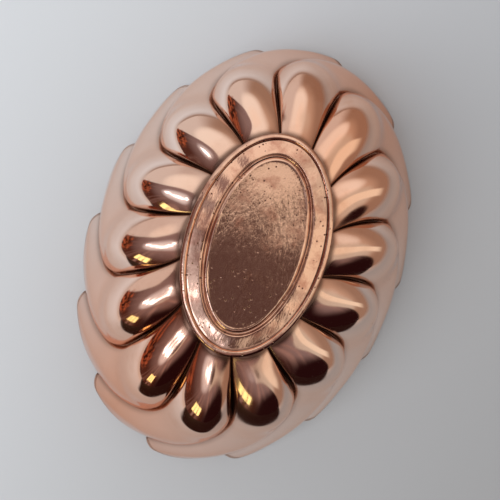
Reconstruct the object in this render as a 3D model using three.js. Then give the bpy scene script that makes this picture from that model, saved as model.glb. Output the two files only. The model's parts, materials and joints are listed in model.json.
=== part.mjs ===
// Oval copper mould with fourteen swirled lobes, standing mouth down.
//
// The form is a lofted sheet. Every level of it is an oval, and the ovals grow from the
// crown to the mouth along one meridian profile. Fourteen lobes are raised on that form,
// square to it, and each lobe runs straight out from the crown as a thumb and then sweeps
// clockwise down the wall. Lengths are in millimetres, angles in degrees, and +Z is up.
// The origin is at the middle of the mouth, and the long axis of the oval lies along X.

import * as THREE from 'three';

// Mouth and crown ovals, measured in the grooves between the lobes. The long axis of the
// crown stands a little counter-clockwise of the mouth's, as the body twists on its way down.
const MOUTH_LENGTH = 169.4;
const MOUTH_WIDTH = 120.2;
const CROWN_LENGTH = 73.4;
const CROWN_WIDTH = 46.2;
const CROWN_SKEW = 5.7;

// Meridian of the grooves, from the crown's edge over the brow and down the wall
const ROOT_HEIGHT = 76.5;
const ROOT_SLOPE = 20;
const BROW_REACH = 18.2;
const BROW_HEIGHT = 62;
const BROW_SLOPE = 59;
const MOUTH_SLOPE = 72;

// Lobes: their number, how far they stand out of the grooves, and their section
const LOBES = 14;
const ROOT_DEPTH = 2.5;
const THUMB_DEPTH = 9.3;
const WALL_DEPTH = 6.5;
const MOUTH_DEPTH = 5;
const LOBE_FULLNESS = 2.2;
const THUMB_LEAN = 0.08;
const CREST_LEAN = 0.28;

// How the lobes turn on the way down, in lobes, and how evenly the crown's edge spaces them
const ROOT_TURN = 0.277;
const LEAD_TURN = 0.302;
const SWEEP_TURN = 0.813;
const CROWN_EVENNESS = 0.445;

// Where each change takes place, as parts of the way out from the crown to the mouth
const THUMB_FULL_AT = 0.38;
const THUMB_FADES_AT = 0.42;
const LEAD_ENDS_AT = 0.5;
const SWEEP_STARTS_AT = 0.5;
const TAIL_STARTS_AT = 0.63;

// Sheet, tinning and the clearance between pieces that touch
const SHEET = 1;
const TINNING = 0.4;
const FIT = 0.3;
const TIN_LIFT = 1.2;
const LONGEST_MITRE = 1.8;

// Collar that the body is turned up into, and the brazed seam between it and the crown
const COLLAR_INSET = 2;
const BRAZE_WIDTH = 0.8;
const BRAZE_HEIGHT = 0.8;

// Crown plate: skirt, rolled rim, dished band, ridge and field
const SKIRT_HEIGHT = 3.6;
const RIM_WIDTH = 2.2;
const RIM_RISE = 1.3;
const RIM_DROP = 1.1;
const BAND_WIDTH = 5.2;
const BAND_DISH = 0.25;
const RIDGE_WIDTH = 1.8;
const RIDGE_RISE = 0.7;
const FIELD_RISE = 0.3;

// Fineness of the facets
const COLUMNS_PER_LOBE = 7;
const CROWDING = 0.75;
const THUMB_RINGS = 6;
const WALL_RINGS = 6;
const CROWN_COLUMNS = 42;
const CROWN_RINGS_PER_CURVE = 4;
const SQUARING_STEPS = 30;

const COPPER = new THREE.Color('#c98264');
const COPPER_DULL = new THREE.Color('#b5725a');
const BRAZE = new THREE.Color('#8f6a4c');
const TIN = new THREE.Color('#b9bab6');

// Half axes of the crown and the mouth, and the way out between them
const crownOval = new THREE.Vector2(CROWN_LENGTH / 2, CROWN_WIDTH / 2);
const mouthOval = new THREE.Vector2(MOUTH_LENGTH / 2, MOUTH_WIDTH / 2);
const growth = mouthOval.clone().sub(crownOval);
const meanReach = (growth.x + growth.y) / 2;

const UP = new THREE.Vector3(0, 0, 1);

function smooth(value, from, to) {
  return THREE.MathUtils.smoothstep(value, from, to);
}

// Direction of a slope that falls by the given angle on its way out
function falling(degrees) {
  const angle = THREE.MathUtils.degToRad(degrees);
  return new THREE.Vector2(Math.cos(angle), -Math.sin(angle));
}

// A curve that leaves one place at one slope and arrives at another place at another
function profileCurve(start, startSlope, end, endSlope) {
  const handle = start.distanceTo(end) / 3;
  const startHandle = start.clone().addScaledVector(falling(startSlope), handle);
  const endHandle = end.clone().addScaledVector(falling(endSlope), -handle);
  return new THREE.CubicBezierCurve(start, startHandle, endHandle, end);
}

// The meridian of the grooves: between the thumbs, then down the wall
function meridian() {
  const root = new THREE.Vector2(0, ROOT_HEIGHT);
  const brow = new THREE.Vector2(BROW_REACH, BROW_HEIGHT);
  const mouth = new THREE.Vector2(meanReach, 0);
  return [
    { rings: THUMB_RINGS, curve: profileCurve(root, ROOT_SLOPE, brow, BROW_SLOPE) },
    { rings: WALL_RINGS, curve: profileCurve(brow, BROW_SLOPE, mouth, MOUTH_SLOPE) },
  ];
}

// Stations along the meridian, each with its place and its direction
function meridianStations() {
  return meridian().flatMap(({ rings, curve }, index) => {
    const first = index === 0 ? 0 : 1;
    return Array.from({ length: rings + 1 - first }, (_, step) => {
      const along = (step + first) / rings;
      return { place: curve.getPoint(along), tangent: curve.getTangent(along) };
    });
  });
}

// Turn of the grooves about the axis, in lobes, at one part of the way out. They lead
// counter-clockwise between the thumbs, and then sweep clockwise down the wall.
function turnAt(way) {
  const toLead = Math.max(0, 1 - way / LEAD_ENDS_AT);
  const swept = Math.max(0, (way - SWEEP_STARTS_AT) / (1 - SWEEP_STARTS_AT));
  return ROOT_TURN + LEAD_TURN * (1 - toLead * toLead) - SWEEP_TURN * swept * swept;
}

function depthAt(way) {
  return ROOT_DEPTH
    + (THUMB_DEPTH - ROOT_DEPTH) * smooth(way, 0, THUMB_FULL_AT)
    + (WALL_DEPTH - THUMB_DEPTH) * smooth(way, THUMB_FADES_AT, TAIL_STARTS_AT)
    + (MOUTH_DEPTH - WALL_DEPTH) * smooth(way, TAIL_STARTS_AT, 1);
}

// Rise of a lobe across its width: nothing in both grooves, one at its crest. Its section is
// a full oval that comes steeply out of the grooves. The crest leans a little to the
// counter-clockwise side of the thumbs, and well over to the clockwise side at the mouth.
function lobeRise(across, way) {
  const crest = 0.5 + THREE.MathUtils.lerp(THUMB_LEAN, -CREST_LEAN, smooth(way, THUMB_FADES_AT, 1));
  const half = across < crest ? across / crest : (1 - across) / (1 - crest);
  return (1 - (1 - half) ** LOBE_FULLNESS) ** (1 / LOBE_FULLNESS);
}

// Places of the columns across a lobe, which crowd together towards the grooves
function columnPlace(column) {
  const lobe = Math.floor(column / COLUMNS_PER_LOBE);
  const share = column / COLUMNS_PER_LOBE - lobe;
  return lobe + THREE.MathUtils.lerp(share, (1 - Math.cos(Math.PI * share)) / 2, CROWDING);
}

// Angle round an oval for a turn, as the lobes are spread along its edge. They are spread
// evenly down the wall, and bunch a little towards the sides of the crown.
function ovalAngle(turn, axes, way) {
  const stretch = (axes.x ** 2 - axes.y ** 2) / (axes.x ** 2 + axes.y ** 2);
  const evenness = THREE.MathUtils.lerp(CROWN_EVENNESS, 1, smooth(way, 0, LEAD_ENDS_AT));
  return turn + evenness * stretch / 4 * Math.sin(2 * turn);
}

// Turn of the oval itself at one part of the way out
function skewAt(way) {
  return THREE.MathUtils.degToRad(CROWN_SKEW) * (1 - way);
}

// A point on the outside of the sheet, at a place counted in lobes round the mould
function sheetPoint(lobePlace, station) {
  const way = station.place.x / meanReach;
  const axes = crownOval.clone().addScaledVector(growth, way);
  const turn = 2 * Math.PI * (lobePlace + turnAt(way)) / LOBES;
  const angle = ovalAngle(turn, axes, way);
  const cos = Math.cos(angle);
  const sin = Math.sin(angle);
  const outward = growth.clone().multiplyScalar(station.tangent.x / meanReach);
  const down = new THREE.Vector3(outward.x * cos, outward.y * sin, station.tangent.y);
  const round = new THREE.Vector3(-axes.x * sin, axes.y * cos, 0);
  const normal = down.cross(round).normalize();
  const rise = depthAt(way) * lobeRise(lobePlace - Math.floor(lobePlace), way);
  const point = new THREE.Vector3(axes.x * cos, axes.y * sin, station.place.y);
  return point.addScaledVector(normal, rise).applyAxisAngle(UP, skewAt(way));
}

// A flat ring of points along the crown's oval, drawn in from its edge
function ovalRing(inset, height, turns) {
  return turns.map((turn) => {
    const angle = ovalAngle(turn, crownOval, 0);
    const x = (crownOval.x - inset) * Math.cos(angle);
    const y = (crownOval.y - inset) * Math.sin(angle);
    return new THREE.Vector3(x, y, height).applyAxisAngle(UP, skewAt(0));
  });
}

// The collar's rings are spaced as the lobes are, so that no facet is sheared
function collarRing(inset, height) {
  const turns = Array.from({ length: LOBES * COLUMNS_PER_LOBE }, (_, column) => (
    2 * Math.PI * (columnPlace(column) + ROOT_TURN) / LOBES));
  return ovalRing(inset, height, turns);
}

function lobedRings() {
  return meridianStations().map((station) => (
    Array.from({ length: LOBES * COLUMNS_PER_LOBE }, (_, column) => (
      sheetPoint(columnPlace(column), station)))));
}

// Triangles of the strip between two rings, given the first point of each
function strip(upper, lower, columns, facesIn = false) {
  const triangles = [];
  for (let column = 0; column < columns; column += 1) {
    const next = (column + 1) % columns;
    const a = upper + column;
    const b = upper + next;
    const c = lower + column;
    const d = lower + next;
    triangles.push(...(facesIn ? [a, b, c, b, d, c] : [a, c, b, b, c, d]));
  }
  return triangles;
}

// Triangles of a whole skin. Both skins of a sheet split their facets along the same
// diagonals, so that the sheet keeps its thickness where the facets twist.
function skin(ringCount, columns, first = 0, facesIn = false) {
  return Array.from({ length: ringCount - 1 }, (_, ring) => (
    strip(first + ring * columns, first + (ring + 1) * columns, columns, facesIn))).flat();
}

function toGeometry(points, triangles) {
  const geometry = new THREE.BufferGeometry().setFromPoints(points);
  geometry.setIndex(triangles);
  geometry.computeVertexNormals();
  return geometry;
}

// The lobed sheet seen as a bare skin, and the way that the facets round each point face
const outerRings = lobedRings();
const facings = (() => {
  const points = outerRings.flat();
  const round = points.map(() => []);
  const corners = skin(outerRings.length, LOBES * COLUMNS_PER_LOBE);
  for (let first = 0; first < corners.length; first += 3) {
    const triangle = corners.slice(first, first + 3);
    const facet = new THREE.Triangle(...triangle.map((index) => points[index]));
    const facing = facet.getNormal(new THREE.Vector3());
    triangle.forEach((index) => round[index].push(facing));
  }
  return round;
})();

// The direction that lies squarest to all the facets round a point. In a groove it halves
// the angle between both sides, and each step turns it towards the facet that lies worst.
function squarest(facets) {
  const direction = facets[0].clone();
  for (let step = 1; step <= SQUARING_STEPS; step += 1) {
    const worst = facets.reduce((least, facet) => (
      facet.dot(direction) < least.dot(direction) ? facet : least));
    direction.lerp(worst, 1 / (step + 1));
  }
  return direction.normalize();
}

// How far each point moves for one millimetre of sheet. A point in a sharp groove is moved
// further than the sheet is thick, so that the sheet is not pinched on both sides of it.
const steps = facings.map((facets) => {
  const direction = squarest(facets);
  const closest = Math.min(...facets.map((facet) => facet.dot(direction)));
  return direction.divideScalar(Math.max(closest, 1 / LONGEST_MITRE));
});

// A collar ring that rises and falls with the roots of the lobes, some way above them
function wavyRing(inset, lift) {
  const ring = collarRing(inset, 0);
  return ring.map((point, column) => point.setZ(outerRings[0][column].z + lift));
}

// A parallel skin below the outside of the body, from the collar's top to the mouth. The
// roots of the lobes lie level with the foot of the collar, so they are lowered with it.
function bodySkin(distance, mouthHeight) {
  const columns = LOBES * COLUMNS_PER_LOBE;
  const inset = COLLAR_INSET + distance;
  const lobed = outerRings.map((ring, level) => ring.map((point, column) => {
    const step = level === 0 ? UP : steps[level * columns + column];
    return point.clone().addScaledVector(step, -distance);
  }));
  trimToMouth(lobed, mouthHeight);
  return {
    collar: (top) => [collarRing(inset, top), wavyRing(inset, -distance)],
    lobed,
  };
}

// The last ring is slid along the wall until it lies at the mouth's height
function trimToMouth(rings, height) {
  const last = rings[rings.length - 1];
  const before = rings[rings.length - 2];
  last.forEach((point, column) => {
    const above = before[column];
    const share = (above.z - height) / (above.z - point.z);
    point.lerpVectors(above, point.clone(), share);
  });
}

// A closed body between two skins, joined along their first rings and their last rings
function closedShell(outside, inside) {
  const columns = outside[0].length;
  const count = outside.length;
  const start = count * columns;
  return toGeometry([...outside, ...inside].flat(), [
    ...skin(count, columns),
    ...skin(count, columns, start, true),
    ...strip(start, 0, columns),
    ...strip(start - columns, 2 * start - columns, columns),
  ]);
}

// A closed body between two skins that close over the middle, as those of a bowl do
function closedBowl(outside, inside, outsideMiddle, insideMiddle) {
  const columns = outside[0].length;
  const count = outside.length;
  const start = count * columns;
  const triangles = [
    ...skin(count, columns),
    ...skin(count, columns, start, true),
    ...strip(start - columns, 2 * start - columns, columns),
  ];
  for (let column = 0; column < columns; column += 1) {
    const next = (column + 1) % columns;
    triangles.push(2 * start, column, next);
    triangles.push(2 * start + 1, start + next, start + column);
  }
  return toGeometry([...outside, ...inside, outsideMiddle, insideMiddle].flat(), triangles);
}

function makeMesh(name, geometry, colour, roughness) {
  const material = new THREE.MeshStandardMaterial({ color: colour, metalness: 1, roughness });
  const mesh = new THREE.Mesh(geometry, material);
  mesh.name = name;
  return mesh;
}

// Heights of the seam and the crown, stacked up from the roots of the lobes. The collar
// and the tinning both reach up to just below the crown plate.
const brazeTop = ROOT_HEIGHT + ROOT_DEPTH + FIT + BRAZE_HEIGHT;
const skirtBottom = brazeTop + FIT;
const rimFoot = skirtBottom + SKIRT_HEIGHT;
const bandHeight = rimFoot + RIM_RISE - RIM_DROP;
const underCrown = bandHeight - BAND_DISH - SHEET - FIT;

// The body: one sheet of copper from the upturned collar to the cut edge of the mouth
function flutedShell() {
  const outside = bodySkin(0, 0);
  const inside = bodySkin(SHEET, 0);
  return closedShell(
    [...outside.collar(underCrown), ...outside.lobed],
    [...inside.collar(underCrown), ...inside.lobed],
  );
}

// Crown plate in section, from its outer edge inwards, as inset and height
function crownProfile() {
  const bandEnd = RIM_WIDTH + BAND_WIDTH;
  const ridgeEnd = bandEnd + RIDGE_WIDTH;
  const fieldHeight = bandHeight + FIELD_RISE;
  const profile = new THREE.Path();
  profile.moveTo(0, skirtBottom);
  profile.lineTo(0, rimFoot);
  profile.bezierCurveTo(0, rimFoot + RIM_RISE, RIM_WIDTH * 0.6, rimFoot + RIM_RISE * 1.1, RIM_WIDTH, bandHeight);
  profile.quadraticCurveTo((RIM_WIDTH + bandEnd) / 2, bandHeight - 2 * BAND_DISH, bandEnd, bandHeight);
  profile.quadraticCurveTo((bandEnd + ridgeEnd) / 2, bandHeight + 2 * RIDGE_RISE, ridgeEnd, fieldHeight);
  return profile.getPoints(CROWN_RINGS_PER_CURVE);
}

// The crown: an oval stamping whose skirt stands on the seam round the collar
function crownPlate() {
  const section = crownProfile();
  const turns = Array.from({ length: CROWN_COLUMNS }, (_, column) => (
    2 * Math.PI * column / CROWN_COLUMNS));
  const outside = section.map((point) => ovalRing(point.x, point.y, turns));
  const inside = section.map((point, index) => {
    const height = index === 0 ? point.y : point.y - SHEET;
    return ovalRing(Math.max(point.x, SHEET), height, turns);
  });
  const field = section[section.length - 1].y;
  const outsideTop = new THREE.Vector3(0, 0, field);
  const insideTop = new THREE.Vector3(0, 0, field - SHEET);
  return closedBowl(outside.reverse(), inside.reverse(), outsideTop, insideTop);
}

// The seam: brazing metal round the collar, which fills the grooves between the lobes' roots
function crownBraze() {
  const inner = COLLAR_INSET - FIT;
  const outer = inner - BRAZE_WIDTH;
  return closedShell(
    [collarRing(inner, brazeTop), collarRing(outer, brazeTop)],
    [wavyRing(inner, FIT), wavyRing(outer, FIT)],
  );
}

// The tinning: a thin skin over the whole inside, the crown's underside included
function tinLining() {
  const outside = bodySkin(SHEET + FIT, TIN_LIFT);
  const inside = bodySkin(SHEET + FIT + TINNING, TIN_LIFT);
  return closedBowl(
    [...outside.collar(underCrown), ...outside.lobed],
    [...inside.collar(underCrown - TINNING), ...inside.lobed],
    new THREE.Vector3(0, 0, underCrown),
    new THREE.Vector3(0, 0, underCrown - TINNING),
  );
}

const mould = new THREE.Group();
mould.add(
  makeMesh('fluted_shell', flutedShell(), COPPER, 0.16),
  makeMesh('crown_plate', crownPlate(), COPPER_DULL, 0.28),
  makeMesh('crown_braze', crownBraze(), BRAZE, 0.5),
  makeMesh('tin_lining', tinLining(), TIN, 0.4),
);

export default mould;
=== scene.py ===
# %% [markdown]
# # A swirled copper mould, standing mouth down
#
# The object is an antique oval jelly mould. One sheet of copper was worked into fourteen
# hollow lobes, an oval plate was brazed over its crown, and the inside was wiped with tin.
# This lesson loads the exact CAD solids as a frame, and then dresses them: the same forms are
# made again with finer facets and the small faults of handwork, because a mirror finish shows
# every facet. Blender works in metres here, with +Z up and the mouth on the ground at Z = 0.

# %% Load the frame
import json
import math

import bpy
import numpy as np
from mathutils import Matrix, Vector, noise

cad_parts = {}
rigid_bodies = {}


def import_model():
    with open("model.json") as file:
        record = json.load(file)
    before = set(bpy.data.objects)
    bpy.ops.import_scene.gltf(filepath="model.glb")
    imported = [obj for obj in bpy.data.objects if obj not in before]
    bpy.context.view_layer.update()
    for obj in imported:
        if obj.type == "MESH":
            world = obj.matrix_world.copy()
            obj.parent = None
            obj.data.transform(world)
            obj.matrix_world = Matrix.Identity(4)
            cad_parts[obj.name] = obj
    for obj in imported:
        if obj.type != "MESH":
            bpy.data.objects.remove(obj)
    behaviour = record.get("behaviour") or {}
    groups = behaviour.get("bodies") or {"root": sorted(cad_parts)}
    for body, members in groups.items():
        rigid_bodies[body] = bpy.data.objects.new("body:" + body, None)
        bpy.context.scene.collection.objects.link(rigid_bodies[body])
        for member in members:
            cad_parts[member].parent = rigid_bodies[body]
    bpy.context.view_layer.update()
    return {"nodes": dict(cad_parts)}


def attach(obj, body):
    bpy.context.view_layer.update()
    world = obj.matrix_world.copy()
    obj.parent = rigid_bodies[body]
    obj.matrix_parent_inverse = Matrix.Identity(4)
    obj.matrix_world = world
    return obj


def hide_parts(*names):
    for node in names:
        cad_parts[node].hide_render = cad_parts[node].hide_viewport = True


MM = 0.001


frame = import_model()
print("nodes in the frame:", sorted(frame["nodes"]))

# %% [markdown]
# ## The sizes
#
# A dressed piece has to lie exactly where its solid lies, so the sizes below are those of the
# CAD model. They are written in millimetres and degrees, as a maker would say them, and the
# finished points are turned into metres. The ovals are given by half their length and half
# their width, measured in the grooves. A turn is counted in lobes, and a place on the way down
# is a share of the way out from the crown to the mouth. Only the lip isn't in the solids: it is
# the short steep edge of a lobe, as a share of its depth and of its half width.

# %% Sizes of the mould
MOUTH = np.array([84.7, 60.1])
CROWN = np.array([36.7, 23.1])
CROWN_SKEW = math.radians(5.7)
GROWTH = MOUTH - CROWN
REACH = GROWTH.mean()

ROOT_HEIGHT = 76.5
ROOT_SLOPE = 20
BROW = (18.2, 62.0)
BROW_SLOPE = 59
MOUTH_SLOPE = 72

LOBES = 14
ROOT_DEPTH = 2.5
THUMB_DEPTH = 9.3
WALL_DEPTH = 6.5
MOUTH_DEPTH = 5.0
LIP = 0.32
LIP_WIDTH = 0.08
THUMB_LEAN = 0.08
CREST_LEAN = 0.28
ROOT_TURN = 0.277
LEAD_TURN = 0.302
SWEEP_TURN = 0.813
CROWN_EVENNESS = 0.445

THUMB_FULL_AT = 0.38
THUMB_FADES_AT = 0.42
LEAD_ENDS_AT = 0.5
SWEEP_STARTS_AT = 0.5
TAIL_STARTS_AT = 0.63

SHEET = 1.0
TINNING = 0.4
FIT = 0.3
TIN_LIFT = 1.2
LONGEST_MITRE = 1.8
COLLAR_INSET = 2.0

print("mouth", 2 * MOUTH, "mm, crown", 2 * CROWN, "mm")

# %% [markdown]
# ## The form as a formula
#
# Every level of the mould is an oval, and the ovals grow from the crown to the mouth along one
# profile, called the meridian here. A lobe is a bump that is raised square to that smooth form.
# A sculpted mesh could look the same, but a formula keeps all fourteen lobes true to the CAD
# solid, and its facets can be as fine as the mirror finish asks. The meridian is two smooth
# curves that meet at the brow, one over the thumbs and one down the wall.

# %% The meridian of the grooves
THUMB_STEPS = 48
WALL_STEPS = 72


def smooth(value, low, high):
    share = np.clip((value - low) / (high - low), 0, 1)
    return share * share * (3 - 2 * share)


def falling(degrees):
    angle = math.radians(degrees)
    return np.array([math.cos(angle), -math.sin(angle)])


def profile_curve(start, start_slope, end, end_slope, steps):
    start, end = np.array(start, float), np.array(end, float)
    handle = np.linalg.norm(end - start) / 3
    first = start + falling(start_slope) * handle
    last = end - falling(end_slope) * handle
    t = np.linspace(0, 1, steps + 1)[:, None]
    place = (1 - t) ** 3 * start + 3 * (1 - t) ** 2 * t * first
    place = place + 3 * (1 - t) * t * t * last + t ** 3 * end
    way_on = (1 - t) ** 2 * (first - start) + 2 * (1 - t) * t * (last - first)
    way_on = way_on + t * t * (end - last)
    return place, way_on / np.linalg.norm(way_on, axis=1, keepdims=True)


thumb = profile_curve((0, ROOT_HEIGHT), ROOT_SLOPE, BROW, BROW_SLOPE, THUMB_STEPS)
wall = profile_curve(BROW, BROW_SLOPE, (REACH, 0), MOUTH_SLOPE, WALL_STEPS)
places = np.concatenate([thumb[0], wall[0][1:]])
tangents = np.concatenate([thumb[1], wall[1][1:]])
print("stations down the meridian:", len(places))

# %% [markdown]
# ## The lobes
#
# The lobes start nearly straight at the crown, lead a little counter-clockwise, and sweep
# clockwise down the wall. Their crests lean over to the clockwise side near the mouth, which
# gives the scalloped edge its slanting, wave-like steps. In section a lobe is a gentle arch
# that ends in a short steep lip on both sides, so two lobes meet in a deep, narrow crease.

# %% Turn, depth and section of the lobes
def lobe_turn(way):
    to_lead = np.clip(1 - way / LEAD_ENDS_AT, 0, 1)
    swept = np.clip((way - SWEEP_STARTS_AT) / (1 - SWEEP_STARTS_AT), 0, 1)
    return ROOT_TURN + LEAD_TURN * (1 - to_lead ** 2) - SWEEP_TURN * swept ** 2


def lobe_depth(way):
    depth = ROOT_DEPTH + (THUMB_DEPTH - ROOT_DEPTH) * smooth(way, 0, THUMB_FULL_AT)
    depth = depth + (WALL_DEPTH - THUMB_DEPTH) * smooth(way, THUMB_FADES_AT, TAIL_STARTS_AT)
    return depth + (MOUTH_DEPTH - WALL_DEPTH) * smooth(way, TAIL_STARTS_AT, 1)


def lobe_rise(across, way):
    crest = 0.5 + THUMB_LEAN - (THUMB_LEAN + CREST_LEAN) * smooth(way, THUMB_FADES_AT, 1)
    half = np.where(across < crest, across / crest, (1 - across) / (1 - crest))
    lip = 1 - np.clip(1 - half / LIP_WIDTH, 0, 1) ** 2
    return LIP * lip + (1 - LIP) * (1 - (1 - half) ** 2)


print("depth of a lobe at the thumb:", round(float(lobe_depth(THUMB_FULL_AT)), 2), "mm")

# %% [markdown]
# Equal angles would crowd the lobes at the blunt ends of the ovals, so each angle is shifted to
# space them evenly, less so at the crown. The crown's oval also stands a few degrees askew of
# the mouth's, because the body twists on its way down. Cross products of the ways down and
# around give the direction square to the form, and each lobe is raised along it.

# %% Points of the lobed sheet
def oval_angle(turn, half_x, half_y, way):
    stretch = (half_x ** 2 - half_y ** 2) / (half_x ** 2 + half_y ** 2)
    evenness = CROWN_EVENNESS + (1 - CROWN_EVENNESS) * smooth(way, 0, LEAD_ENDS_AT)
    return turn + evenness * stretch / 4 * np.sin(2 * turn)


def skewed(points, way):
    angle = CROWN_SKEW * (1 - way)
    x = points[..., 0] * np.cos(angle) - points[..., 1] * np.sin(angle)
    y = points[..., 0] * np.sin(angle) + points[..., 1] * np.cos(angle)
    return np.stack([x, y, points[..., 2]], -1)


def lobed_sheet(lobe_places, stations, directions):
    way = (stations[:, 0] / REACH)[:, None]
    place = lobe_places[None, :]
    half_x, half_y = CROWN[0] + GROWTH[0] * way, CROWN[1] + GROWTH[1] * way
    turn = 2 * np.pi * (place + lobe_turn(way)) / LOBES
    angle = oval_angle(turn, half_x, half_y, way)
    cos, sin = np.cos(angle), np.sin(angle)
    outward = directions[:, 0][:, None] / REACH
    drop = directions[:, 1][:, None] + 0 * cos
    down = np.stack([GROWTH[0] * outward * cos, GROWTH[1] * outward * sin, drop], -1)
    around = np.stack([-half_x * sin, half_y * cos, 0 * cos], -1)
    normal = np.cross(down, around)
    normal /= np.linalg.norm(normal, axis=-1, keepdims=True)
    rise = lobe_depth(way) * lobe_rise(place % 1, way)
    height = stations[:, 1][:, None] + 0 * cos
    points = np.stack([half_x * cos, half_y * sin, height], -1)
    return skewed(points + normal * rise[..., None], way)


shifted = oval_angle(math.pi / 4, MOUTH[0], MOUTH[1], 1.0) - math.pi / 4
print("a lobe at 45 degrees is shifted by", round(math.degrees(shifted), 1), "degrees at the mouth")

# %% [markdown]
# Each lobe gets the same number of columns of points. Part of their spacing is even, and the
# rest crowds them toward the creases, where the sheet bends most.

# %% Outer skin of the body
COLUMNS_PER_LOBE = 32
CROWDING = 0.75
COLUMNS = LOBES * COLUMNS_PER_LOBE

even = np.arange(COLUMNS_PER_LOBE) / COLUMNS_PER_LOBE
crowded = (1 - CROWDING) * even + CROWDING * (1 - np.cos(np.pi * even)) / 2
lobe_places = (np.arange(LOBES)[:, None] + crowded).ravel()
outer = lobed_sheet(lobe_places, places, tangents)
print("rings and columns of the outer skin:", outer.shape[:2])

# %% [markdown]
# ## The faults of handwork
#
# The sheet was planished over a stake, so its surface is never quite even. A mirror doubles
# every tilt of the surface, and waves of a few hundredths of a millimetre are enough to bend
# the reflections as in the real mould. They are put into the mesh, not only into the material,
# and they die out toward the crown and the mouth, where the pieces have to fit.

# %% Slow waves square to the sheet
def sheet_normals(points):
    around = np.roll(points, -1, 1) - np.roll(points, 1, 1)
    down = np.gradient(points, axis=0)
    normal = np.cross(down, around)
    return normal / np.linalg.norm(normal, axis=-1, keepdims=True)


def hand_waves(points, wavelength, height, seed):
    shift = Vector((seed, 2.3 * seed, -1.7 * seed))
    flat = points.reshape(-1, 3) / wavelength
    waves = np.array([noise.noise(Vector(p) + shift) for p in flat])
    return height * waves.reshape(points.shape[:-1])


ring_numbers = np.arange(len(places))[:, None]
from_mouth = len(places) - 1 - ring_numbers
broad = hand_waves(outer, wavelength=11, height=0.10, seed=3)
fine = hand_waves(outer, wavelength=4.5, height=0.03, seed=8)
waves = (broad + fine) * (smooth(ring_numbers, 0, 6) * smooth(from_mouth, 0, 4))
outer = outer + sheet_normals(outer) * waves[..., None]
normals = sheet_normals(outer)
print("waves stand", round(float(np.abs(waves).max()), 3), "mm at most")

# %% [markdown]
# ## Meshes from rings
#
# Each piece is a stack of closed rings of points. One helper joins the rings with quads, and
# another makes the object, tells the frame which body it rides on and which solid it replaces,
# and smooths its shading. A third stores one number for each point, for a material to read.

# %% Helpers that join rings
def ring_quads(ring_count, columns, first=0, inward=False):
    quads = []
    for ring in range(ring_count - 1):
        for column in range(columns):
            a = first + ring * columns + column
            b = first + ring * columns + (column + 1) % columns
            quad = (a, a + columns, b + columns, b)
            quads.append(quad[::-1] if inward else quad)
    return quads


def make_piece(name, points, faces, slot, *nodes):
    mesh = bpy.data.meshes.new(name)
    mesh.from_pydata((np.asarray(points).reshape(-1, 3) * MM).tolist(), [], faces)
    mesh.update()
    mesh.polygons.foreach_set("use_smooth", [True] * len(mesh.polygons))
    piece = bpy.data.objects.new(name, mesh)
    bpy.context.scene.collection.objects.link(piece)
    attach(piece, "root")
    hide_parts(*nodes)
    print(name, len(mesh.vertices), "points", len(mesh.polygons), "faces")
    return piece


def add_attribute(piece, name, values):
    attribute = piece.data.attributes.new(name, "FLOAT", "POINT")
    attribute.data.foreach_set("value", np.asarray(values, dtype=np.float32).ravel())


print("quads in one skin of the body:", len(ring_quads(len(places), COLUMNS)))

# %% [markdown]
# The body's upper edge, the seam and the crown all follow the crown's oval, each set in from it
# by its own distance. The heights of the crown are stacked up from the roots of the lobes: the
# seam, the skirt, and the rolled rim with the band behind it.

# %% Rings that follow the crown's oval
def oval_ring(inset, height, turns):
    angle = oval_angle(turns, CROWN[0], CROWN[1], 0.0)
    x, y = (CROWN[0] - inset) * np.cos(angle), (CROWN[1] - inset) * np.sin(angle)
    return skewed(np.stack([x, y, height + 0 * x], -1), 0.0)


def collar_ring(inset, height):
    return oval_ring(inset, height, 2 * np.pi * (lobe_places + ROOT_TURN) / LOBES)


def wavy_ring(inset, lift):
    return collar_ring(inset, outer[0, :, 2] + lift)


BRAZE_HEIGHT = 0.8
SKIRT_HEIGHT = 3.6
RIM_RISE = 1.3
RIM_DROP = 1.1
BAND_DISH = 0.25
BRAZE_TOP = ROOT_HEIGHT + ROOT_DEPTH + FIT + BRAZE_HEIGHT
SKIRT_BOTTOM = BRAZE_TOP + FIT
BAND = SKIRT_BOTTOM + SKIRT_HEIGHT + RIM_RISE - RIM_DROP
UNDER_CROWN = BAND - BAND_DISH - SHEET - FIT
print("band of the crown at", round(BAND, 2), "mm")

# %% [markdown]
# ## The body
#
# The body is one sheet, 1 mm thick. Its upper edge is turned up into a collar for the crown.
# The inner skin is the outer one moved in along its normals. In a sharp groove a point moves
# further than the sheet is thick, or both sides would pinch it. That is the even thickness
# option of Solidify, with a limit on how far a point may go.

# %% How far each point moves in a groove
side = np.diff(np.concatenate([outer, outer[:, :1]], axis=1), axis=1)
side = -np.cross(side, np.gradient(outer, axis=0))
side /= np.linalg.norm(side, axis=-1, keepdims=True)
one_side = (side * normals).sum(-1)
other_side = (np.roll(side, 1, axis=1) * normals).sum(-1)
squareness = np.abs(np.minimum(one_side, other_side))
mitre = 1 / np.clip(squareness, 1 / LONGEST_MITRE, 1)
print("points move up to", round(float(mitre.max()), 2), "times the sheet")

# %% [markdown]
# The mouth was cut flat after the lobes were raised. A skin that was moved in along its normals
# ends in a wavy edge, above or below the table. So each column of points is carried on a little
# past its end, and its last rings are then spaced anew, to end exactly at the cut.

# %% Skins that end level at the mouth
RINGS_BY_THE_MOUTH = 8
CARRIED_ON = 4


def cut_level(skin, height):
    beyond = skin[-1] + CARRIED_ON * (skin[-1] - skin[-2])
    tail = np.concatenate([skin[-RINGS_BY_THE_MOUTH:], beyond[None]])
    rings = np.arange(len(tail))
    for column in range(COLUMNS):
        crossing = np.interp(-height, -tail[:, column, 2], rings)
        stations = np.linspace(0, crossing, RINGS_BY_THE_MOUTH)
        for axis in range(3):
            skin[-RINGS_BY_THE_MOUTH:, column, axis] = np.interp(stations, rings, tail[:, column, axis])
    skin[-1, :, 2] = height
    return skin


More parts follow.
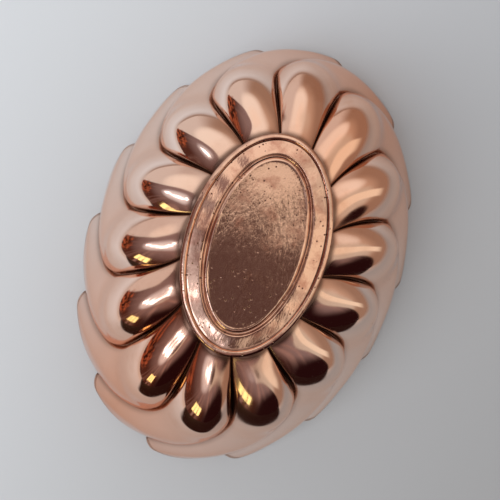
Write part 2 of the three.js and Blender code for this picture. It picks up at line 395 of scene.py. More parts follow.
def lower_skin(distance, mouth_height):
    skin = outer - normals * distance * mitre[..., None]
    skin[0] = outer[0] - np.array([0, 0, distance])
    collar = wavy_ring(COLLAR_INSET + distance, -distance)
    return np.concatenate([collar[None], cut_level(skin, mouth_height)])


def skin_with_collar(distance, top, mouth_height):
    upper_edge = collar_ring(COLLAR_INSET + distance, top)
    return np.concatenate([upper_edge[None], lower_skin(distance, mouth_height)])


outside = skin_with_collar(0.0, UNDER_CROWN, 0.0)
inside = skin_with_collar(SHEET, UNDER_CROWN, 0.0)
print("both skins end at", outside[-1, :, 2].min(), "and", inside[-1, :, 2].max(), "mm")

# %% [markdown]
# The two skins are joined along the upper edge of the collar and along the cut at the mouth,
# which makes a closed sheet. The seam under the crown is made with the same helper later.

# %% The body's sheet
def closed_sheet(outside, inside):
    rings, columns = len(outside), outside.shape[1]
    start = rings * columns
    faces = ring_quads(rings, columns) + ring_quads(rings, columns, start, inward=True)
    for column in range(columns):
        after = (column + 1) % columns
        faces.append((start + column, column, after, start + after))
        low, low_in = start - columns, 2 * start - columns
        faces.append((low + column, low_in + column, low_in + after, low + after))
    return np.concatenate([outside.reshape(-1, 3), inside.reshape(-1, 3)]), faces


points, faces = closed_sheet(outside, inside)
body = make_piece("body_sheet", points, faces, "copper_body", "fluted_shell")

# %% [markdown]
# ## Dirt and painted shade in the creases
#
# Polish never reaches the bottom of a crease, so some dirt stays there, and the colour also
# paints in the shade that falls into the crease. The dark reaches within a millimetre of the
# bottom on one side, and within two on the side that grows steep toward the mouth. It is
# lighter on the walls, and darker still at the roots of the lobes under the crown, with dirt
# and painted shade. The mesh carries how dark each point is, from 0 on the open copper to 1 in
# a crease, and the copper's material reads it.

# %% Dirt and painted shade stored on the points
STEEP_SIDE_DIRT_AND_SHADE = 2.2
OTHER_SIDE_DIRT_AND_SHADE = 0.8
LIGHTER_ON_THE_WALLS = 0.25
DIRT_AND_SHADE_BY_THE_CROWN = 0.8

way = (places[:, 0] / REACH)[:, None]
spacing = np.linalg.norm(outer[:, COLUMNS_PER_LOBE] - outer[:, 0], axis=1)[:, None]
across = lobe_places[None, :] % 1
# Dirt and painted shade: each crease is darkened toward its bottom, and more so under the crown.
steep_side_dirt_and_shade = np.clip(1 - across * spacing / STEEP_SIDE_DIRT_AND_SHADE, 0, 1) ** 2
other_side = np.clip(1 - (1 - across) * spacing / OTHER_SIDE_DIRT_AND_SHADE, 0, 1)
dirt_and_shade = np.maximum(steep_side_dirt_and_shade, other_side) * (1 - LIGHTER_ON_THE_WALLS * smooth(way, 0.2, 0.5))
dirt_and_shade = np.maximum(dirt_and_shade, DIRT_AND_SHADE_BY_THE_CROWN * (1 - smooth(ring_numbers, 0, 4)))
dirt_and_shade = np.concatenate([np.ones((1, COLUMNS)), dirt_and_shade[:1], dirt_and_shade])
add_attribute(body, "groove", np.concatenate([dirt_and_shade.ravel(), dirt_and_shade.ravel()]))
print("lobes are", round(float(spacing.min()), 1), "to", round(float(spacing.max()), 1), "mm apart")

# %% [markdown]
# ## The tinning
#
# The inside is coated with tin that was wiped on while molten. Real tinning is thinner than
# paint. Here it is a thin skin of its own, so that the grey metal ends just short of the mouth
# and shows the copper's cut edge, as on a worn mould. It also closes the top, under the crown,
# with a fan of triangles round a middle point.

# %% Inner skin of tin
TIN_GAP = 0.08

tin_out = skin_with_collar(SHEET + TIN_GAP, UNDER_CROWN, TIN_LIFT)
tin_in = skin_with_collar(SHEET + TIN_GAP + TINNING, UNDER_CROWN - TINNING, TIN_LIFT)
rings = len(tin_out)
start = rings * COLUMNS
faces = ring_quads(rings, COLUMNS) + ring_quads(rings, COLUMNS, start, inward=True)
for column in range(COLUMNS):
    after = (column + 1) % COLUMNS
    faces.append((2 * start, column, after))
    faces.append((2 * start + 1, start + after, start + column))
    low, low_in = start - COLUMNS, 2 * start - COLUMNS
    faces.append((low + column, low_in + column, low_in + after, low + after))
middle = np.array([[0, 0, UNDER_CROWN], [0, 0, UNDER_CROWN - TINNING]])
points = np.concatenate([tin_out.reshape(-1, 3), tin_in.reshape(-1, 3), middle])
lining = make_piece("tin_skin", points, faces, "tin", "tin_lining")

# %% [markdown]
# ## The crown plate
#
# The crown is an oval stamping. In section, from the outside in, it has a skirt, a rolled rim,
# a crease, a dished band with a rounded shoulder, a fine bead between two creases, and the
# field with a shoulder of its own. The section is drawn as a smooth curve through a few
# points, each so far in from the edge and so far above the band. The creases and shoulders are
# finer than the solid's, which would need too many facets for them.

# %% Section of the crown plate
STEPS_PER_KNOT = 5


def smooth_through(knots, steps):
    knots = np.array(knots, float)
    ghost = np.concatenate([[2 * knots[0] - knots[1]], knots, [2 * knots[-1] - knots[-2]]])
    curve = []
    for i in range(1, len(ghost) - 2):
        p0, p1, p2, p3 = ghost[i - 1:i + 3]
        bend = 2 * p0 - 5 * p1 + 4 * p2 - p3
        twist = 3 * p1 - p0 - 3 * p2 + p3
        for t in np.arange(steps) / steps:
            curve.append(0.5 * (2 * p1 + (p2 - p0) * t + bend * t * t + twist * t ** 3))
    return np.array(curve + [knots[-1]])


skirt = [(0.0, SKIRT_BOTTOM - BAND), (0.0, -1.6), (0.03, -0.5)]
rolled_rim = [(0.2, 0.12), (0.6, 0.46), (1.1, 0.62), (1.55, 0.66), (1.85, 0.5), (2.05, 0.12)]
rim_crease = [(2.25, -0.16), (2.45, -0.2), (2.8, -0.14)]
band = [(3.5, -0.07), (5.0, 0.08), (6.3, 0.2), (6.75, 0.16)]
bead = [(7.0, -0.06), (7.2, 0.0), (7.5, 0.28), (7.75, 0.12), (7.95, 0.02)]
field = [(8.15, 0.12), (8.45, 0.34), (8.9, 0.42), (9.8, 0.38), (13.0, 0.34), (18.5, 0.32)]
section = smooth_through(skirt + rolled_rim + rim_crease + band + bead + field, STEPS_PER_KNOT)
print("points in the crown's section:", len(section), "highest", round(float(section[:, 1].max()), 2))

# %% [markdown]
# The section is swept round the oval, and the plate gets its dents: deep and close together on
# the band, slow and shallow on the field, where they bend the reflection of the room. They fade
# toward the edge, which stays true. The underside is the same form, one sheet lower, and its
# skirt is set in by one sheet.

# %% Crown plate swept round the oval
CROWN_COLUMNS = 256
FIELD_SHOULDER = (7.5, 9.5)
DENTS_FULL_AT = 2.4

crown_turns = 2 * np.pi * np.arange(CROWN_COLUMNS) / CROWN_COLUMNS
crown_out = np.array([oval_ring(x, BAND + z, crown_turns) for x, z in section])
in_field = smooth(section[:, 0], *FIELD_SHOULDER)[:, None]
band_dents = hand_waves(crown_out, wavelength=7, height=0.3, seed=21)
field_dents = hand_waves(crown_out, wavelength=14, height=0.1, seed=34)
dents = band_dents * (1 - in_field) + field_dents * in_field
dents = dents * smooth(section[:, 0], 0.0, DENTS_FULL_AT)[:, None]
crown_out[..., 2] += dents
crown_in = crown_out.copy()
crown_in[..., 2] -= SHEET
for index, inset in enumerate(section[:, 0]):
    crown_in[index, :, :2] = oval_ring(max(inset, SHEET), 0.0, crown_turns)[:, :2]
crown_in[0, :, 2] = crown_out[0, :, 2]
print("dents in the crown go", round(float(np.abs(dents).max()), 2), "mm deep")

# %% [markdown]
# The rings are joined like those of the body, but the winding is the other way round, since
# they run inward and not down. A fan of triangles closes the middle of the field on both sides.

# %% The crown's mesh
rings = len(section)
start = rings * CROWN_COLUMNS
faces = ring_quads(rings, CROWN_COLUMNS, inward=True) + ring_quads(rings, CROWN_COLUMNS, start)
for column in range(CROWN_COLUMNS):
    after = (column + 1) % CROWN_COLUMNS
    faces.append((start + column, start + after, after, column))
    top, top_in = start - CROWN_COLUMNS, 2 * start - CROWN_COLUMNS
    faces.append((top + column, top + after, 2 * start))
    faces.append((top_in + after, top_in + column, 2 * start + 1))
middle = np.array([crown_out[-1].mean(axis=0), crown_in[-1].mean(axis=0)])
points = np.concatenate([crown_out.reshape(-1, 3), crown_in.reshape(-1, 3), middle])
crown = make_piece("crown_stamping", points, faces, "copper_crown", "crown_plate")

# %% [markdown]
# Dirt and painted shade also darken the crown's creases: under the skirt, behind the rolled
# rim and on both sides of the bead. The dark is given at a few distances from the edge, and
# the points between them get what lies between.

# %% Dirt and painted shade in the crown's creases
crease_at = [0, 0.1, 0.5, 2.0, 2.25, 2.5, 6.8, 7.0, 7.2, 7.75, 7.95, 8.15]
crease_dirt_and_shade = [1, 0.8, 0, 0, 1, 0, 0, 1, 0, 0, 1, 0]
# Dirt and painted shade: the crown's creases are darkened.
crease = np.repeat(np.interp(section[:, 0], crease_at, crease_dirt_and_shade), CROWN_COLUMNS)
add_attribute(crown, "groove", np.concatenate([crease, crease, [0, 0]]))
print("share of the crown's points with dirt:", round(float((crease > 0).mean()), 2))

# %% [markdown]
# ## The brazed seam
#
# The crown stands on a seam of brazing metal that was run round the collar and into the
# grooves between the lobes. It lies in the shade, and is dull and dark. Its foot follows the
# roots of the lobes and is lumpy, because molten metal sets where it runs to.

# %% Seam between the body and the crown
SEAM_INSET = 0.9
SEAM_GAP = 0.15


def seam_rings(inset):
    foot = wavy_ring(inset, FIT)
    foot[:, 2] += hand_waves(foot, wavelength=2.5, height=0.06, seed=5)
    return np.stack([collar_ring(inset, BRAZE_TOP), foot])


points, faces = closed_sheet(seam_rings(SEAM_INSET), seam_rings(COLLAR_INSET - SEAM_GAP))
seam = make_piece("crown_seam", points, faces, "braze", "crown_braze")

# %% [markdown]
# ## Colours and nodes
#
# Colours are written as sRGB hex values, as a colour picker gives them, and one function turns
# them to the linear values that Blender's shaders add up. A second adds a node with its settings
# and its links, and takes a node's first working output where no socket is named. A third lays
# coats of colour over a ground, each with the share of the surface that it covers. The Mix node
# has sockets of the same name for numbers and colours, so they are told apart by their places:
# 0 is the share, 6 what lies under and 7 what lies over.

# %% Helpers for materials
def linear(hex_colour):
    channels = [int(hex_colour[i:i + 2], 16) / 255 for i in (1, 3, 5)]
    return tuple([c / 12.92 if c <= 0.04045 else ((c + 0.055) / 1.055) ** 2.4 for c in channels] + [1.0])


def add_node(tree, kind, settings=None, links=None):
    node = tree.nodes.new(kind)
    for key, value in (settings or {}).items():
        if isinstance(key, int) or key in node.inputs:
            node.inputs[key].default_value = value
        else:
            setattr(node, key, value)
    for key, source in (links or {}).items():
        if isinstance(source, bpy.types.Node):
            source = next(output for output in source.outputs if output.enabled)
        tree.links.new(source, node.inputs[key])
    return node


def lay_coats(tree, ground, coats):
    for share, coat in coats:
        settings, links = {"data_type": "RGBA"}, {0: share}
        for socket, colour in ((6, ground), (7, coat)):
            if isinstance(colour, str):
                settings[socket] = linear(colour)
            else:
                links[socket] = colour
        ground = add_node(tree, "ShaderNodeMix", settings, links)
    return ground


def new_material(name):
    material = bpy.data.materials.new(name)
    material.use_nodes = True
    material.node_tree.nodes.clear()
    return material, material.node_tree


print("clean copper is", [round(v, 3) for v in linear("#f6cab3")[:3]], "in linear light")

# %% [markdown]
# ## Hand-polished copper
#
# Polished copper is a metal, so its colour is the tint of its reflections: a warm pink peach
# for clean copper. Hand polishing leaves fine scratches, and years of handling leave cloudy
# patches of tarnish, darker pits and brown dirt in the grooves. Real scratches are a few
# hundredths of a millimetre wide, too fine to show, so the finest are drawn 0.3 mm wide, which
# is about a pixel. Both sets run along the mould: the Mapping node scales before it turns, so
# the turn only makes the second set differ from the first.

# %% Scratches and pits
FINEST_SCRATCH = 0.3


def scratches(tree, place, turn, length_mm, width_mm):
    stretch = (1 / (length_mm * MM), 1 / (width_mm * MM), 1 / (width_mm * MM))
    laid = add_node(tree, "ShaderNodeMapping", {"Rotation": (0, 0, math.radians(turn)), "Scale": stretch},
                    {"Vector": place})
    return add_node(tree, "ShaderNodeTexNoise", {"Scale": 1.0, "Detail": 3.0, "Roughness": 0.6},
                    {"Vector": laid})


def pits(tree, place, spacing_mm, radius_mm, share):
    cells = add_node(tree, "ShaderNodeTexVoronoi", {"Scale": 1 / (spacing_mm * MM)}, {"Vector": place})
    pick = add_node(tree, "ShaderNodeTexWhiteNoise", {}, {"Vector": cells.outputs["Position"]})
    few = add_node(tree, "ShaderNodeMath", {"operation": "LESS_THAN", 1: share}, {0: pick})
    radius = radius_mm / spacing_mm
    dot = add_node(tree, "ShaderNodeMapRange", {"From Min": radius, "From Max": 0.5 * radius},
                   {"Value": cells.outputs["Distance"]})
    return add_node(tree, "ShaderNodeMath", {"operation": "MULTIPLY"}, {0: few, 1: dot})


print("finest scratch drawn:", FINEST_SCRATCH, "mm wide")

# %% [markdown]
# The body isn't one colour all over. Low on the wall the copper is painted deeper, a painted
# shade where the walls mirror the shaded table close by, and along both flanks it is painted
# paler, a painted sheen. The height and the distance from the long axis give the shares of the
# two coats. The crown has neither, so its material is made without them.

# %% Painted shade on the foot and painted sheen on the flanks
FOOT_FROM, FOOT_BY = 0.064, 0.046
SHEEN_FULL_AT = 0.06
MOST_OF_A_COAT = 0.9


def wall_coats(tree, place):
    height = add_node(tree, "ShaderNodeSeparateXYZ", {}, {"Vector": place}).outputs["Z"]
    # Painted shade: the copper is painted deeper low on the wall.
    low = add_node(tree, "ShaderNodeMapRange",
                   {"From Min": FOOT_FROM, "From Max": FOOT_BY, "To Max": MOST_OF_A_COAT}, {"Value": height})
    side = add_node(tree, "ShaderNodeVectorMath", {"operation": "DOT_PRODUCT", 1: (0.3, 0.95, 0.0)},
                    {0: place})
    to_side = add_node(tree, "ShaderNodeMath", {"operation": "ABSOLUTE"}, {0: side})
    # Painted sheen: the copper is painted paler along both flanks.
    painted_sheen = add_node(tree, "ShaderNodeMapRange",
                     {"From Min": 0.0, "From Max": SHEEN_FULL_AT, "To Max": MOST_OF_A_COAT},
                     {"Value": to_side})
    return [(low, "#f6bb9e"), (painted_sheen, "#faece4")]


print("the foot deepens from", FOOT_FROM / MM, "mm down to", FOOT_BY / MM, "mm")

# %% [markdown]
# One function makes the copper of both pieces. Its colour is a ground of clean copper under
# coats of tarnish, pits, and dirt with painted shade in the creases. The polish has a
# roughness of about 0.09. Scratches make it vary, and tarnish and the creases' coat add to it.
# Scratches and pits are also raised or sunk with Bump. At a low angle a metal reflects nearly
# white. The specular tint keeps these glancing reflections a little warm, as the film of
# handling does on the real one.

# %% Copper and its wear
POLISH = 0.09
SCRATCHED = 0.06
CLOUDED = 0.07
SOILED = 0.25


def polished_copper(name, look, more_coats=None):
    material, tree = new_material(name)
    place = add_node(tree, "ShaderNodeTexCoord").outputs["Object"]
    clouds = add_node(tree, "ShaderNodeTexNoise",
                      {"Scale": 1 / (look["cloud_mm"] * MM), "Detail": 6.0, "Roughness": 0.62},
                      {"Vector": place})
    tarnish = add_node(tree, "ShaderNodeMapRange", {"From Min": 0.48, "From Max": 0.68}, {"Value": clouds})
    pit = pits(tree, place, *look["pits"])
    # The groove attribute gives dirt and painted shade in the creases; the look's darkest colour paints both,
    # and the pits.
    groove = add_node(tree, "ShaderNodeAttribute", {"attribute_name": "groove"}).outputs["Fac"]
    ragged = add_node(tree, "ShaderNodeMath", {"operation": "MULTIPLY_ADD", 1: 0.6, 2: 0.7}, {0: clouds})
    dirt_and_shade = add_node(tree, "ShaderNodeMath", {"operation": "MULTIPLY", "use_clamp": True},
                    {0: groove, 1: ragged})
    coats = [(tarnish, look["tarnished"])] + (more_coats(tree, place) if more_coats else [])
    colour = lay_coats(tree, look["clean"], coats + [(pit, look["grime_and_shade"]), (dirt_and_shade, look["grime_and_shade"])])

    length, width, depth = look["scratches"]
    first_set = scratches(tree, place, 35, length, width)
    second_set = scratches(tree, place, -50, 0.8 * length, 1.2 * width)
    marks = add_node(tree, "ShaderNodeMath", {"operation": "ADD"}, {0: first_set, 1: second_set})
    rough = add_node(tree, "ShaderNodeMath",
                     {"operation": "MULTIPLY_ADD", 1: SCRATCHED, 2: POLISH - SCRATCHED}, {0: marks})
    for share, added in ((tarnish, CLOUDED), (dirt_and_shade, SOILED)):
        rough = add_node(tree, "ShaderNodeMath", {"operation": "MULTIPLY_ADD", 1: added},
                         {0: share, 2: rough})
    relief = add_node(tree, "ShaderNodeBump", {"Strength": 1.0, "Distance": depth * MM}, {"Height": marks})
    relief = add_node(tree, "ShaderNodeBump", {"Strength": 0.6, "Distance": 0.2 * MM, "invert": True},
                      {"Height": pit, "Normal": relief})
    shader = add_node(tree, "ShaderNodeBsdfPrincipled", {"Metallic": 1.0, "Specular Tint": linear("#f9e0d2")},
                      {"Base Color": colour, "Roughness": rough, "Normal": relief})
    add_node(tree, "ShaderNodeOutputMaterial", {}, {"Surface": shader})
    return material


print("roughness of the polish", POLISH, "- of soiled copper", POLISH + SOILED)

# %% [markdown]
# The body was polished often. Its tarnish lies in broad clouds, some 26 mm wide, with few pits.
# Pits are given by their spacing and radius in millimetres and by the share of the places that
# have one, and scratches by their length, width and depth.

# %% Hand-polished copper on the body
# The darkest colour paints the pits, and the dirt and painted shade in the grooves.
body_look = {"clean": "#f6cab3", "tarnished": "#e2a98a", "grime_and_shade": "#5e463b", "cloud_mm": 26,
             "pits": (9, 0.35, 0.12), "scratches": (6, FINEST_SCRATCH, 0.0008)}
body.data.materials.append(polished_copper("hand_polished_copper", body_look, wall_coats))
print("body:", body.data.materials[0].name)

# %% [markdown]
# The crown is what the mould stood on while it was filled, so it is worn and thickly pitted. It
# is the same copper with smaller clouds, close pits and coarser scratches.

# %% Worn copper on the crown
# The darkest colour paints the pits, and the dirt and painted shade in the crown's creases.
crown_look = {"clean": "#f4cfbb", "tarnished": "#cb9a88", "grime_and_shade": "#4a2a20", "cloud_mm": 7,
              "pits": (1.3, 0.3, 0.35), "scratches": (3.0, 0.9, 0.03)}
crown.data.materials.append(polished_copper("worn_pitted_copper", crown_look))
print("crown:", crown.data.materials[0].name)

# %% [markdown]
# ## Tin and brazing metal
#
# Wiped tin is a soft grey metal that never takes a high polish, and the cloth leaves it cloudy
# over some 6 mm. Brazing metal is a brass that has gone brown in the heat, with a grain of
# about 1.5 mm. Both are dull metals with a grain, so one function makes them.

# %% Wiped tin and tarnished braze
def dull_metal(name, colour, shade, roughness, grain_mm):
    material, tree = new_material(name)
    place = add_node(tree, "ShaderNodeTexCoord").outputs["Object"]
    grain = add_node(tree, "ShaderNodeTexNoise",
                     {"Scale": 1 / (grain_mm * MM), "Detail": 6.0, "Roughness": 0.65}, {"Vector": place})
    shaded = add_node(tree, "ShaderNodeMapRange", {"From Min": 0.35, "From Max": 0.7}, {"Value": grain})
    tone = lay_coats(tree, colour, [(shaded, shade)])
    rough = add_node(tree, "ShaderNodeMath", {"operation": "MULTIPLY_ADD", 1: 0.2, 2: roughness}, {0: grain})
    relief = add_node(tree, "ShaderNodeBump", {"Strength": 0.4, "Distance": 0.3 * MM}, {"Height": grain})
    shader = add_node(tree, "ShaderNodeBsdfPrincipled", {"Metallic": 1.0},
                      {"Base Color": tone, "Roughness": rough, "Normal": relief})
    add_node(tree, "ShaderNodeOutputMaterial", {}, {"Surface": shader})
    return material


lining.data.materials.append(dull_metal("wiped_tin", "#c9c8c4", "#9b9a96", 0.3, 6))
seam.data.materials.append(dull_metal("tarnished_braze", "#8a5a3c", "#3e2a20", 0.4, 1.5))
print("inside:", lining.data.materials[0].name, "- seam:", seam.data.materials[0].name)

# %% [markdown]
# ## The camera's directions
#
# The picture was taken from almost straight above, 350 mm over the table and a little to the
# lower left of the mould, so the walls on that side show more. The table's shades and the room
# are laid out by the picture's own right and up, so these are worked out first. They are fixed
# directions, so nothing moves when the mould is seen from another side.

# %% Right and up in the picture
CAMERA = Vector((-0.0153, 0.0093, 0.350))
TARGET = Vector((0.0016, -0.0011, 0.0))
ROLL = math.radians(23.3)

forward = (TARGET - CAMERA).normalized()
right = forward.cross(Vector((math.cos(ROLL), math.sin(ROLL), 0))).normalized()
up = right.cross(forward)
flat_right = Vector((right.x, right.y, 0)).normalized()
flat_up = Vector((up.x, up.y, 0)).normalized()
print("camera looks", [round(v, 3) for v in forward])

# %% [markdown]
# ## The table
#
# The mould stands on a plain pale table. Copper shows its surroundings more than itself, so the
# table is a disc that is large enough to fill every reflection that points down. It lies a hair
# under the mouth, so that the two don't share one plane.

# %% Table top
TABLE_RADIUS = 1.6
TABLE_SIDES = 96
TABLE_DROP = 0.2 * MM

corners = []
for step in range(TABLE_SIDES):
    angle = 2 * math.pi * step / TABLE_SIDES
    corners.append((TABLE_RADIUS * math.cos(angle), TABLE_RADIUS * math.sin(angle), 0))
table_mesh = bpy.data.meshes.new("table_top")
table_mesh.from_pydata(corners, [], [tuple(range(TABLE_SIDES))])
table = bpy.data.objects.new("table_top", table_mesh)
table.location.z = -TABLE_DROP
bpy.context.scene.collection.objects.link(table)
print("table", 2 * TABLE_RADIUS, "m across")

# %% [markdown]
# The table has matt pale paint. Its colour is painted palest at the upper left and dimmest at
# the lower right, a painted shade for the light falling off across it. Further out than the
# picture reaches, it goes over to bare board, browner to the upper right, and the walls of the
# mould mirror that. Below the picture's lower edge, just outside it, a dark sector of painted
# shade stands for the shaded floor beyond the near edge of the table. The lowest parts of the
# lobes mirror it, and without it they would have no dark patches. The distances are in metres,
# measured along directions that lie flat on the table.

# %% Shares of the table's shades
SECTOR_FROM = 0.15

paint, tree = new_material("matt_painted_table")
place = add_node(tree, "ShaderNodeTexCoord").outputs["Object"]
to_lower_right = (flat_right * 0.84 - flat_up * 0.54) / 0.21
to_upper_right = flat_right * 0.7 + flat_up * 0.7
to_near_edge = (flat_right * -0.13 - flat_up * 0.99).normalized()
along_edge = Vector((to_near_edge.y, -to_near_edge.x, 0))
rightward, browner, ahead, aside = [
    add_node(tree, "ShaderNodeVectorMath", {"operation": "DOT_PRODUCT", 1: way_out}, {0: place})
    for way_out in (to_lower_right, to_upper_right, to_near_edge, along_edge)]
distance = add_node(tree, "ShaderNodeVectorMath", {"operation": "LENGTH"}, {0: place})

# Painted shade: the paint darkens toward the lower right, as the light falls off.
painted_falloff = add_node(tree, "ShaderNodeMapRange",
               {"From Min": -1, "From Max": 1, "interpolation_type": "SMOOTHSTEP"}, {"Value": rightward})
bare = add_node(tree, "ShaderNodeMapRange", {"From Min": 0.22, "From Max": 0.6}, {"Value": distance})
brown = add_node(tree, "ShaderNodeMapRange", {"From Min": -0.1, "From Max": 0.2}, {"Value": browner})
aside = add_node(tree, "ShaderNodeMath", {"operation": "ABSOLUTE"}, {0: aside})
sector = add_node(tree, "ShaderNodeMath", {"operation": "MULTIPLY_ADD", 1: -0.75}, {0: aside, 2: ahead})
sector = add_node(tree, "ShaderNodeMapRange", {"From Min": 0.06, "From Max": 0.09}, {"Value": sector})
# Painted shade: a near-black sector on the table for the shaded floor.
shaded = add_node(tree, "ShaderNodeMapRange", {"From Min": SECTOR_FROM, "From Max": SECTOR_FROM + 0.01},
                  {"Value": ahead, "To Max": sector})
print("the dark sector starts", round(SECTOR_FROM / MM), "mm from the middle")

# %% [markdown]
# The shades are then laid over each other as coats. Matt paint has hardly any gloss, so its
# roughness is high and its specular level low.

# %% Matt paint for the table
board = lay_coats(tree, "#c6bab2", [(brown, "#a48c7e")])
tone = lay_coats(tree, "#d8dbde", [(painted_falloff, "#9c9b9b"), (bare, board), (shaded, "#240c09")])
shader = add_node(tree, "ShaderNodeBsdfPrincipled", {"Roughness": 0.8, "Specular IOR Level": 0.1},
                  {"Base Color": tone})
add_node(tree, "ShaderNodeOutputMaterial", {}, {"Surface": shader})
table_mesh.materials.append(paint)
print("table:", paint.name)

# %% [markdown]
# ## The room
#
# A mirror needs something to show. One side of the room is a broad, pale wall that turns warm
# toward the right, and the other side is dark. An HDR picture could stand in for the room. Here
# the world draws it from the direction alone, as soft round patches, so each can be moved and
# toned by itself. A direction is given by the hour on a clock laid over the picture, with 12 at
# its top, and by its height above the horizon in degrees. A patch covers all that lies near
# enough to its middle. It starts at one cosine of the angle between them and is full at
# another, so cosines that fall make it cover what lies far from its middle. It may be kept
# within another patch.

# %% Patches of the room
world = bpy.data.worlds.new("room")
bpy.context.scene.world = world
world.use_nodes = True
room = world.node_tree
room.nodes.clear()
direction = add_node(room, "ShaderNodeTexCoord").outputs["Generated"]


def toward(hour, elevation):
    angle = math.radians(90 - 30 * hour)
    flat = flat_right * math.cos(angle) + flat_up * math.sin(angle)
    return flat * math.cos(math.radians(elevation)) + Vector((0, 0, math.sin(math.radians(elevation))))


def patch(hour, elevation, edge, full, within=None):
    middle = toward(hour, elevation)
    nearness = add_node(room, "ShaderNodeVectorMath", {"operation": "DOT_PRODUCT", 1: middle}, {0: direction})
    links = {"Value": nearness}
    if within is not None:
        links["To Max"] = within
    return add_node(room, "ShaderNodeMapRange",
                    {"From Min": edge, "From Max": full, "interpolation_type": "SMOOTHSTEP"}, links)


print("noon in the picture is", [round(v, 2) for v in toward(12, 0)])

# %% [markdown]
# The pale wall stands at the top of the picture. Toward the right it turns warm, brown below
# and peach above. High up there are brighter parts, where the wall meets the ceiling, and one
# greyer part. A pale upright strip, like a sunlit door, gives the long light reflections on
# the right-hand lobes: it is what two patches on opposite sides leave between them.

# %% Pale and warm walls
warm_wall = lay_coats(room, "#9d7f6d", [(patch(12, 90, 0.3, 0.95), "#cfb09a")])
door = patch(3.2, 50, 0.7, 0.95)
door = patch(6.2, 0, 0.16, 0.1, within=door)
door = patch(6.2, 0, -0.16, -0.1, within=door)
walls = lay_coats(room, "#d6c8c0", [
    (patch(2.6, 10, 0.0, 0.5), warm_wall),
    (patch(12, 62, 0.83, 0.97), "#f8ebdf"),
    (patch(1.2, 77, 0.93, 0.985), "#fbe8d8"),
    (patch(3.9, 64, 0.8, 0.97), "#cfc1b1"),
    (door, "#f6e2cb")])
print("nodes in the room so far:", len(room.nodes))

# %% [markdown]
# The left and the near side of the room are dark, with a hard edge that the copper shows as the
# border of its brown reflections. The dark wall is paler toward the ceiling, and has paler
# upright streaks, like panelling in the shade. They come from noise over the level part of the
# direction alone. A small dark patch high up darkens the lower half of the crown's field.

# %% The dark side
dark_left = patch(6.6, 0, -0.22, -0.18, within=patch(9, 0, 0.08, 0.15))
dark_near = patch(5.6, 25, 0.72, 0.76)
dark_side = add_node(room, "ShaderNodeMath", {"operation": "MAXIMUM"}, {0: dark_left, 1: dark_near})
level = add_node(room, "ShaderNodeVectorMath", {"operation": "MULTIPLY", 1: (1, 1, 0)}, {0: direction})
level = add_node(room, "ShaderNodeVectorMath", {"operation": "NORMALIZE"}, {0: level})
upright = add_node(room, "ShaderNodeTexNoise", {"Scale": 5.0, "Detail": 3.0}, {"Vector": level})
streaks = add_node(room, "ShaderNodeMapRange",
                   {"From Min": 0.5, "From Max": 0.65, "interpolation_type": "SMOOTHSTEP"},
                   {"Value": upright})
dark_wall = lay_coats(room, "#4e2c23", [
    (patch(12, 90, 0.3, 0.98), "#8c7674"),
    (streaks, "#a08078"),
    (patch(5, 0, 0.5, 0.8), "#240d0e")])
walls = lay_coats(room, walls, [(dark_side, dark_wall), (patch(6.3, 83, 0.974, 0.979), "#5a4541")])
print("nodes in the room so far:", len(room.nodes))

# %% [markdown]
# Far left and low there is terracotta, like a tiled wall, and the lobes on the left show it as
# orange. A cloudy noise gives it dark joints, and also pushes its edge in and out.

# %% Terracotta with ragged edges
cloudy = add_node(room, "ShaderNodeTexNoise", {"Scale": 7.0, "Detail": 4.0, "Roughness": 0.7},
                  {"Vector": direction})
wobble = add_node(room, "ShaderNodeMath", {"operation": "MULTIPLY_ADD", 1: 0.3, 2: -0.15}, {0: cloudy})
nearness = add_node(room, "ShaderNodeVectorMath", {"operation": "DOT_PRODUCT", 1: toward(9.3, 8)},
                    {0: direction})
nearness = add_node(room, "ShaderNodeMath", {"operation": "ADD"}, {0: nearness, 1: wobble})
tiled, clay = [
    add_node(room, "ShaderNodeMapRange",
             {"From Min": low, "From Max": high, "interpolation_type": "SMOOTHSTEP"}, {"Value": value})
    for value, low, high in ((nearness, 0.93, 0.95), (cloudy, 0.48, 0.54))]
terracotta = lay_coats(room, "#2c130e", [(clay, "#a85a3c")])
walls = lay_coats(room, walls, [(tiled, terracotta)])
print("nodes in the room so far:", len(room.nodes))

# %% [markdown]
# The ceiling is lit to the left of the middle. The last coat is for diffuse rays only: matt
# surfaces are lit by an even pale grey, so the patches that the copper mirrors don't tint the
# table.

# %% Lit ceiling and even light
ray = add_node(room, "ShaderNodeLightPath")
lit = patch(8.2, 68, 0.94, 0.995)
seen = lay_coats(room, walls, [(lit, "#e8e2e4"), (ray.outputs["Is Diffuse Ray"], "#d4d5d6")])
backdrop = add_node(room, "ShaderNodeBackground", {"Strength": 1.0}, {"Color": seen})
add_node(room, "ShaderNodeOutputWorld", {}, {"Surface": backdrop})
print("nodes in the whole room:", len(room.nodes))

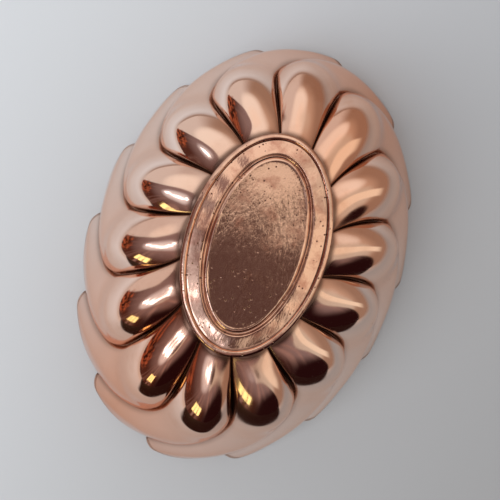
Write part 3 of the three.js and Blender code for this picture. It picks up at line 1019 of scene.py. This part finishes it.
# %% [markdown]
# ## The lamps
#
# A broad soft window lamp at the lower left lights the table and gives the mould its faint
# shadow. It is hidden from the copper, which would show it as a square in every lobe. Three
# small lamps at the ceiling are what the copper does show, as the white glints by the crown.
# Three tall golden panes, low at the lower left, give the yellow glints at the lobes' ends.

# %% Lamps
def lamp(name, aim, distance, size, power, colour):
    data = bpy.data.lights.new(name, "AREA")
    data.shape = "RECTANGLE"
    data.size, data.size_y = size
    data.energy = power
    data.color = linear(colour)[:3]
    item = bpy.data.objects.new(name, data)
    item.location = aim * distance
    item.rotation_euler = (-aim).to_track_quat("-Z", "Y").to_euler()
    item.visible_camera = False
    bpy.context.scene.collection.objects.link(item)
    print(name, [round(v, 2) for v in item.location], power, "W")
    return item


window = lamp("window", toward(8, 56), distance=3.0, size=(1.8, 1.8), power=42, colour="#f6f8ff")
window.visible_glossy = False

TUBES = 3
for number in range(TUBES):
    tube_aim = toward(8.8, 63).lerp(toward(7.5, 71), number / (TUBES - 1)).normalized()
    lamp("ceiling_tube_" + str(number), tube_aim, 2.0, (0.24, 0.24), 0.45, "#fdfcff")

PANES = 3
PANE_STEP = 0.125
middle_aim = toward(7.25, 22)
sideways = middle_aim.cross(Vector((0, 0, 1))).normalized()
for number in range(PANES):
    pane_aim = (middle_aim + (number - 1) * PANE_STEP * sideways).normalized()
    lamp("golden_pane_" + str(number), pane_aim, 1.5, (0.15, 0.5), 0.4, "#fff4a4")

# %% [markdown]
# ## The camera
#
# The camera stands where the directions above were taken from, and is turned with the picture.
# Its lens sees about 17 degrees on either side. The Standard view shows colours as written.

# %% Camera
camera_data = bpy.data.cameras.new("camera")
camera_data.lens = 60.48
camera_data.sensor_width = 36
camera_data.clip_start = 0.01
camera = bpy.data.objects.new("camera", camera_data)
axes = Matrix((right, up, -forward)).transposed().to_4x4()
camera.matrix_world = Matrix.Translation(CAMERA) @ axes
bpy.context.scene.collection.objects.link(camera)
bpy.context.scene.camera = camera
bpy.context.scene.view_settings.view_transform = "Standard"
print("lens", round(camera_data.lens, 2), "mm,", round(math.degrees(camera_data.angle), 1), "degrees across")
